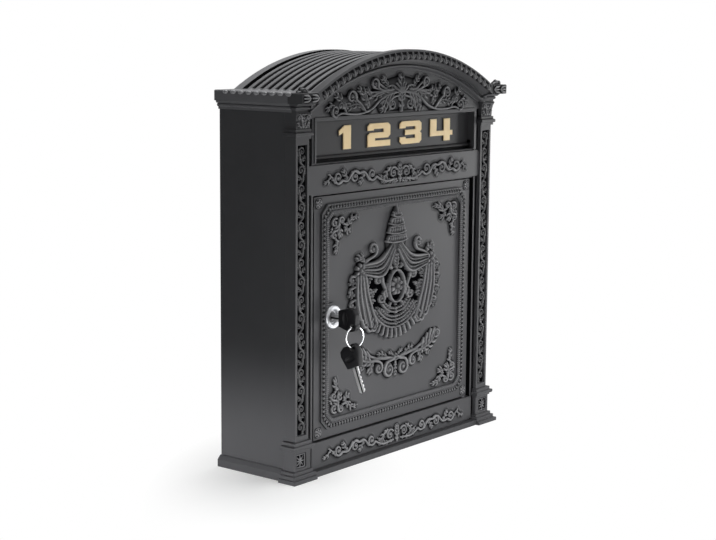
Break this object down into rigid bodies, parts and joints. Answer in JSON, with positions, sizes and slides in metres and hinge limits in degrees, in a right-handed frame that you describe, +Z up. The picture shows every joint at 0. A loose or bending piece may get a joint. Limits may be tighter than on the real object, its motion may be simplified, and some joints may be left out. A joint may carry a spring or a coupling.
{
  "type": "wall letter box",
  "caption": "Classical cast wall letter box with an arched, ribbed roof, pilasters, a lifting slot flap, a hinged door with a cam lock, and keys on a ring.",
  "frame": {"origin": "middle of the bottom edge of the back face, on the wall", "axes": "+Z up, +Y into the wall, so the front looks along -Y, and +X to the right seen from the front"},
  "size_m": [0.371, 0.1467, 0.445],
  "materials": {
    "painted_case": "satin powder coat on cast metal, almost smooth",
    "painted_front": "satin powder coat on cast metal, carved relief with dark recesses",
    "plated_steel": "zinc or nickel plated, lightly brushed",
    "chromed_zinc": "polished chrome",
    "key_plastic": "moulded black plastic, fine grain"
  },
  "bodies": {
    "case": {"back_plate": "painted_case", "left_side": "painted_case", "right_side": "painted_case", "floor_plate": "painted_case", "roof": "painted_case", "front_casting": "painted_front", "case_screws": "plated_steel", "flap_rod": "plated_steel", "rod_clips": "plated_steel", "pivot_washer": "plated_steel"},
    "flap": {"mail_flap": "painted_front"},
    "door_leaf": {"door": "painted_front", "pivot_pin_upper": "plated_steel", "pivot_pin_lower": "plated_steel", "lock_barrel": "chromed_zinc", "lock_nut": "plated_steel"},
    "plug": {"lock_plug": "chromed_zinc", "lock_cam": "plated_steel", "cam_screw": "plated_steel"},
    "key": {"key_blade": "plated_steel", "key_head": "key_plastic"},
    "ring": {"key_ring": "chromed_zinc"},
    "spare_key": {"spare_key_blade": "plated_steel", "spare_key_head": "key_plastic"}
  },
  "joints": [
    {"name": "flap_hinge", "type": "hinge", "parent": "case", "child": "flap", "pos_m": [0, -0.0935, 0.3734], "axis": [-1, 0, 0], "range_deg": [0, 60]},
    {"name": "door_hinge", "type": "hinge", "parent": "case", "child": "door_leaf", "pos_m": [0.137, -0.0965, 0.1655], "axis": [0, 0, 1], "range_deg": [0, 95]},
    {"name": "lock_turn", "type": "hinge", "parent": "door_leaf", "child": "plug", "pos_m": [-0.112, -0.09, 0.166], "axis": [0, 1, 0], "range_deg": [0, 90]},
    {"name": "key_slide", "type": "slide", "parent": "plug", "child": "key", "axis": [0, -1, 0], "range_m": [0, 0.03]},
    {"name": "ring_swing", "type": "hinge", "parent": "key", "child": "ring", "pos_m": [-0.112, -0.1326, 0.1595], "axis": [1, 0, 0], "range_deg": [-30, 15]},
    {"name": "spare_swing", "type": "hinge", "parent": "ring", "child": "spare_key", "pos_m": [-0.112, -0.1326, 0.1369], "axis": [1, 0, 0], "range_deg": [-30, 15]}
  ]
}
